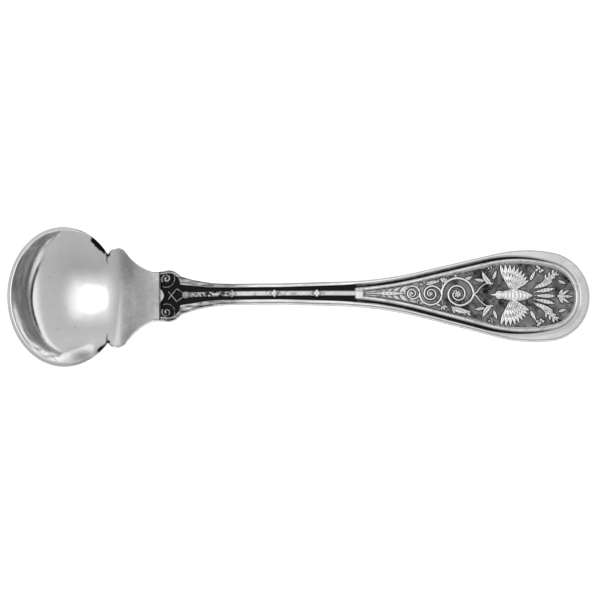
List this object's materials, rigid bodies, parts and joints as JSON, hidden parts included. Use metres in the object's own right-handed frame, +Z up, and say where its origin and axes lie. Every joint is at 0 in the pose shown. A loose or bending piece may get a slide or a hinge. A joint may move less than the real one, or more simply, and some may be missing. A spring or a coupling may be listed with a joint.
{
  "type": "salt spoon",
  "caption": "Silver salt spoon: broad oval bowl with lobed shoulders, a beaded stem and a widening round-ended handle with a framed relief of a bird and vine.",
  "frame": {"origin": "middle of the spoon's length and width, at the table it lies on", "axes": "+X from the bowl to the handle's end, +Z up out of the bowl, +Y across"},
  "size_m": [0.095, 0.023, 0.0093],
  "materials": {
    "silver": "polished sterling silver, with dark tarnish left in the sunk ground"
  },
  "bodies": {
    "root": {"salt_spoon": "silver"}
  },
  "joints": []
}
